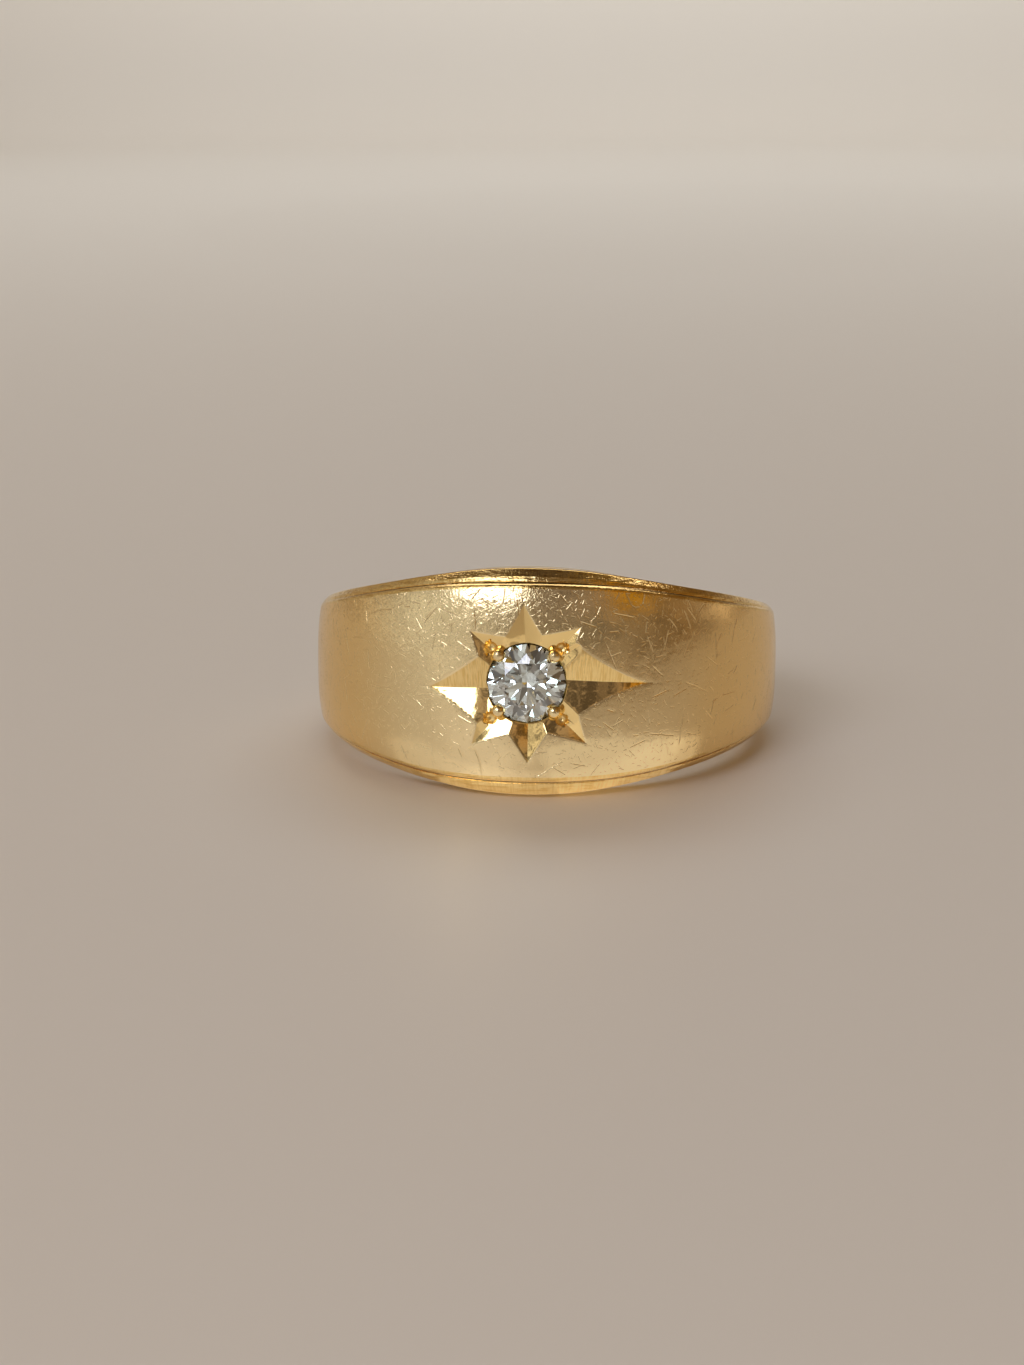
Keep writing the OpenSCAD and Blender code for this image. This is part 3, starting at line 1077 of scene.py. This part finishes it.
def bright_cut():
    """Facets left by the graver, with fine chatter marks across the long rays' upper ones and painted
    shade in the chatter's grooves.
    """
    shader = gold("gold_cut", CUT_ROUGH)
    mark = shader.node("ShaderNodeAttribute", attribute_name="chatter").outputs["Fac"]
    chatter = shader.mark(*CHATTER)
    # Painted shade in the chatter's grooves
    grooves = shader.math("MULTIPLY", shader.fade(chatter, *CHATTER_FADE), mark)
    color = shader.mixed(grooves, POLISHED_GOLD, PAINTED_SHADE_GOLD)
    normal = shader.bump(shader.mark(*UNEVEN), UNEVEN_HEIGHT * MICRON)
    raised = shader.math("MULTIPLY", chatter, mark)
    normal = shader.bump(raised, CHATTER_HEIGHT * MICRON, normal)
    shader.surface(Base_Color=color, Normal=normal)
    return shader.material


def plain_bore():
    """The inside, polished and rubbed by wear."""
    shader = gold("gold_bore", BORE_ROUGH)
    shader.surface(Normal=shader.bump(shader.mark(*RUBS), RUBS_HEIGHT * MICRON))
    return shader.material


def beaded_hollow():
    """The pits behind the grains, left dull by the beading tool."""
    return gold("gold_hollow", HOLLOW_ROUGH).material


def diamond():
    shader = Shader("diamond")
    shader.surface(Base_Color=(*DIAMOND, 1), Roughness=0, IOR=DIAMOND_IOR, Transmission_Weight=1)
    return shader.material


finish_band(band)
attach(band, "root")
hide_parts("band")
stone = frame["nodes"]["stone"]
stone.data.materials.clear()
stone.data.materials.append(diamond())

# Camera: where it stands as seen from the finger hole's middle, in metres and degrees. The image
# is 1024 by 1365 pixels, and the hole's middle shows at HOLE_PIXEL.
IMAGE = (1024, 1365)
FOCAL_PIXELS = 2271
HOLE_PIXEL = (547.5, 656)
CAMERA_FAR = 0.1025
CAMERA_AZIMUTH = math.radians(4.635)
CAMERA_ELEVATION = math.radians(15.08)
CAMERA_ROLL = math.radians(-0.287)
SENSOR = 36
CLIP_START = 0.001
CLIP_END = 100


def add_camera():
    back = Vector((
        math.sin(CAMERA_AZIMUTH) * math.cos(CAMERA_ELEVATION),
        -math.cos(CAMERA_AZIMUTH) * math.cos(CAMERA_ELEVATION),
        math.sin(CAMERA_ELEVATION),
    ))
    right = Vector((0, 0, 1)).cross(back).normalized()
    level = Matrix((right, back.cross(right), back)).transposed()
    rolled = level @ Matrix.Rotation(CAMERA_ROLL, 3, "Z")
    seen = Vector((HOLE_PIXEL[0] - IMAGE[0] / 2, IMAGE[1] / 2 - HOLE_PIXEL[1], -FOCAL_PIXELS))
    aim = seen.rotation_difference(Vector((0, 0, -1))).to_matrix()
    data = bpy.data.cameras.new("camera")
    data.sensor_fit = "HORIZONTAL"
    data.sensor_width = SENSOR
    data.lens = FOCAL_PIXELS / IMAGE[0] * SENSOR
    data.clip_start = CLIP_START
    data.clip_end = CLIP_END
    camera = bpy.data.objects.new("camera", data)
    bpy.context.scene.collection.objects.link(camera)
    camera.matrix_world = (rolled @ aim).to_4x4()
    camera.location = REST.translation + CAMERA_FAR * back
    bpy.context.scene.camera = camera


add_camera()

# Floor: colour, metallic and roughness. In metres, its half width, its near edge, where it starts
# to curve up into a low backdrop, and the curve's radius. Rows on the level and in the curve.
FLOOR = (0.81, 0.725, 0.625)
FLOOR_METAL = 0.2
FLOOR_ROUGH = 0.5
FLOOR_HALF = 1.5
FLOOR_NEAR = -0.9
FLOOR_FAR = 0.6
FLOOR_BEND = 0.12
LEVEL_ROWS = 16
BEND_ROWS = 24


def add_floor():
    """A floor that curves up into a low backdrop far behind the ring."""
    profile = [(y, 0) for y in np.linspace(FLOOR_NEAR, FLOOR_FAR, LEVEL_ROWS)]
    for q in np.linspace(0, math.pi / 2, BEND_ROWS)[1:]:
        profile.append((FLOOR_FAR + FLOOR_BEND * math.sin(q), FLOOR_BEND * (1 - math.cos(q))))
    points = [(x, y, z) for y, z in profile for x in (-FLOOR_HALF, FLOOR_HALF)]
    faces = [(2 * i, 2 * i + 1, 2 * i + 3, 2 * i + 2) for i in range(len(profile) - 1)]
    floor = new_object("floor", new_mesh("floor", points, faces))
    floor.data.shade_smooth()
    shader = Shader("floor")
    shader.surface(Base_Color=(*FLOOR, 1), Metallic=FLOOR_METAL, Roughness=FLOOR_ROUGH)
    floor.data.materials.append(shader.material)


add_floor()

# Soft lights, all LIGHT_FAR from the ring: azimuth in degrees from the front, positive to the
# right, elevation, size, power and colour. The key is the light of the main highlight. The strip
# shows along the rail and doesn't light the floor. The back light is turned down towards the
# floor, and no metal shows it.
LIGHT_FAR = 0.6
KEY = (-28, 37, (0.315, 0.277), 0.98, (0.95, 1, 1.16))
STRIP = (180, 59, (0.7, 0.09), 0.5, (1, 0.9, 0.84))
BACK = (180, 45, (0.6, 0.4), 1.85, (0.88, 1, 1.1))
BACK_TURN = math.radians(12)
# Cards of light on the floor in front of the ring, for its lower side: place, size and power. The
# right one is a pile of cards, by shares of its size, so that it has a soft edge.
CARD_COLOR = (1, 0.98, 0.94)
CARD_Z = 0.00005
CARD_RIGHT = ((0.0078, -0.017), (0.013, 0.018), 0.00019)
CARD_MIDDLE = ((0.0055, -0.017), (0.019, 0.016), 0.0001)
CARD_NEAR = ((0.001, -0.0118), (0.028, 0.0045), 0.00005)
CARD_SHARES = (1, 0.88, 0.76, 0.64, 0.52, 0.4)
# Lamps that only the stone shows, through its facets: azimuth, elevation, width and colour. The
# power of each is STONE_GLOW times pi and its area.
STONE_GLOW = 4
STONE_LAMPS = (
    (-64, 16, 0.12, (0.75, 1, 1.1)),
    (-50, 56, 0.10, (1, 1, 0.95)),
    (-8, 62, 0.09, (0.8, 1, 1.05)),
    (4, 8, 0.06, (0.9, 1, 1)),
    (18, 38, 0.10, (0.95, 1.05, 0.95)),
    (46, 16, 0.10, (0.75, 1, 1.1)),
    (60, 50, 0.12, (0.95, 1, 1)),
    (88, 26, 0.12, (0.8, 1, 1.1)),
)


def area_light(name, size, power, color):
    data = bpy.data.lights.new(name, "AREA")
    data.shape = "RECTANGLE"
    data.size = size[0]
    data.size_y = size[1]
    data.energy = power
    data.color = color
    light = bpy.data.objects.new(name, data)
    bpy.context.scene.collection.objects.link(light)
    return light


def add_softbox(name, azimuth, elevation, size, power, color):
    """A rectangular light that faces the ring, placed by its direction from it."""
    q = math.radians(azimuth)
    e = math.radians(elevation)
    way = Vector((math.sin(q) * math.cos(e), -math.cos(q) * math.cos(e), math.sin(e)))
    light = area_light(name, size, power, color)
    light.location = REST.translation + LIGHT_FAR * way
    light.rotation_euler = way.to_track_quat("Z", "Y").to_euler()
    return light


def add_floor_card(name, place, size, power):
    """A small card of light that lies on the floor and shines up."""
    card = area_light(name, size, power, CARD_COLOR)
    card.location = (*place, CARD_Z)
    card.rotation_euler = (math.pi, 0, 0)
    card.visible_camera = False


def add_lights():
    add_softbox("key", *KEY)
    strip = add_softbox("strip", *STRIP)
    strip.visible_diffuse = False
    place, (width, depth), power = CARD_RIGHT
    for share in CARD_SHARES:
        add_floor_card(f"card_{share}", place, (width * share, depth * share), power * share**2)
    add_floor_card("card_middle", *CARD_MIDDLE)
    add_floor_card("card_near", *CARD_NEAR)
    back = add_softbox("back", *BACK)
    back.rotation_euler = (BACK_TURN, 0, 0)
    back.visible_glossy = False


def add_stone_lamps():
    for i, (azimuth, elevation, width, color) in enumerate(STONE_LAMPS):
        power = STONE_GLOW * math.pi * width**2
        lamp = add_softbox(f"stone_lamp_{i}", azimuth, elevation, (width, width), power, color)
        lamp.visible_glossy = False
        lamp.visible_diffuse = False


add_lights()
add_stone_lamps()

# Light cards round the ring, in rows one above the other: azimuth in degrees from the front,
# positive to the right, and colour
LOW_ROW = (
    (-180, (0.20, 0.14, 0.09)),
    (-125, (0.38, 0.30, 0.22)),
    (-60, (0.60, 0.57, 0.53)),
    (-25, (0.48, 0.44, 0.40)),
    (0, (0.24, 0.20, 0.16)),
    (80, (0.20, 0.13, 0.07)),
    (105, (0.42, 0.34, 0.27)),
    (140, (0.50, 0.44, 0.38)),
    (180, (0.20, 0.14, 0.09)),
)
MIDDLE_ROW = (
    (-180, (0.12, 0.08, 0.05)),
    (-120, (0.36, 0.29, 0.21)),
    (-60, (0.50, 0.47, 0.43)),
    (-25, (0.40, 0.36, 0.32)),
    (0, (0.23, 0.18, 0.15)),
    (30, (0.24, 0.18, 0.14)),
    (52, (0.42, 0.20, 0)),
    (74, (0.18, 0.11, 0.05)),
    (112, (0.20, 0.11, 0.03)),
    (180, (0.12, 0.08, 0.05)),
)
HIGH_ROW = (
    (-180, (0.12, 0.09, 0.06)),
    (-95, (0.16, 0.12, 0.09)),
    (-68, (0.95, 0.90, 0.84)),
    (-42, (0.24, 0.20, 0.14)),
    (0, (0.14, 0.10, 0.07)),
    (90, (0.13, 0.09, 0.04)),
    (115, (0.20, 0.14, 0.08)),
    (180, (0.12, 0.09, 0.06)),
)
TOP = (0.08, 0.055, 0.04)
# Broken light and shade over all the cards: cells in a radian, detail, where it starts and ends to
# change, and the least and most of it
DAPPLE = 14
DAPPLE_DETAIL = 1
DAPPLE_FADE = (0.42, 0.58)
DAPPLE_LOW = 0.35
DAPPLE_HIGH = 1.65
# What shows beyond the floor's edge
BEYOND = (0.46, 0.41, 0.36)
# Elevations between which one row fades into the next
MIDDLE_FADE = (10, 22)
HIGH_FADE = (42, 54)
TOP_FADE = (68, 78)


def card_row(nodes, share, stops):
    """One row of cards round the ring, by the share of a turn from straight behind."""
    ramp = nodes.node("ShaderNodeValToRGB")
    ramp.color_ramp.interpolation = "EASE"
    elements = ramp.color_ramp.elements
    while len(elements) < len(stops):
        elements.new(0.5)
    for element, (degrees, color) in zip(elements, stops):
        element.position = (degrees + 180) / 360
        element.color = (*color, 1)
    nodes.put(ramp.inputs[0], share)
    return ramp.outputs[0]


def all_cards(nodes, way):
    """Colour of the cards in a direction."""
    x, y, z = nodes.split(way)
    azimuth = nodes.math("ARCTAN2", x, nodes.math("MULTIPLY", y, -1))
    share = nodes.math("MULTIPLY_ADD", azimuth, 1 / (2 * math.pi), 0.5)
    height = nodes.math("ARCSINE", z)
    low, middle, high = (card_row(nodes, share, row) for row in (LOW_ROW, MIDDLE_ROW, HIGH_ROW))
    color = low
    for above, fade in ((middle, MIDDLE_FADE), (high, HIGH_FADE), (TOP, TOP_FADE)):
        start, end = (math.radians(e) for e in fade)
        color = nodes.mixed(nodes.fade(height, start, end), color, above)
    return color


def set_world():
    """A soft studio round the ring, of rows of light cards, with a plain colour past the floor."""
    world = bpy.data.worlds.new("studio")
    world.use_nodes = True
    bpy.context.scene.world = world
    nodes = Nodes(world.node_tree)
    way = nodes.node("ShaderNodeTexCoord").outputs["Generated"]
    seen = nodes.node("ShaderNodeLightPath").outputs["Is Camera Ray"]
    spots = nodes.noise(way, DAPPLE, DAPPLE_DETAIL, dimensions="3D")
    dapple = nodes.fade(spots, *DAPPLE_FADE, DAPPLE_LOW, DAPPLE_HIGH, "LINEAR")
    rest = nodes.math("SUBTRACT", 1, dapple)
    light = nodes.tree.nodes["Background"].inputs
    nodes.put(light["Color"], nodes.mixed(seen, all_cards(nodes, way), BEYOND))
    nodes.put(light["Strength"], nodes.math("MULTIPLY_ADD", seen, rest, dapple))


set_world()
bpy.context.scene.view_settings.view_transform = "Standard"
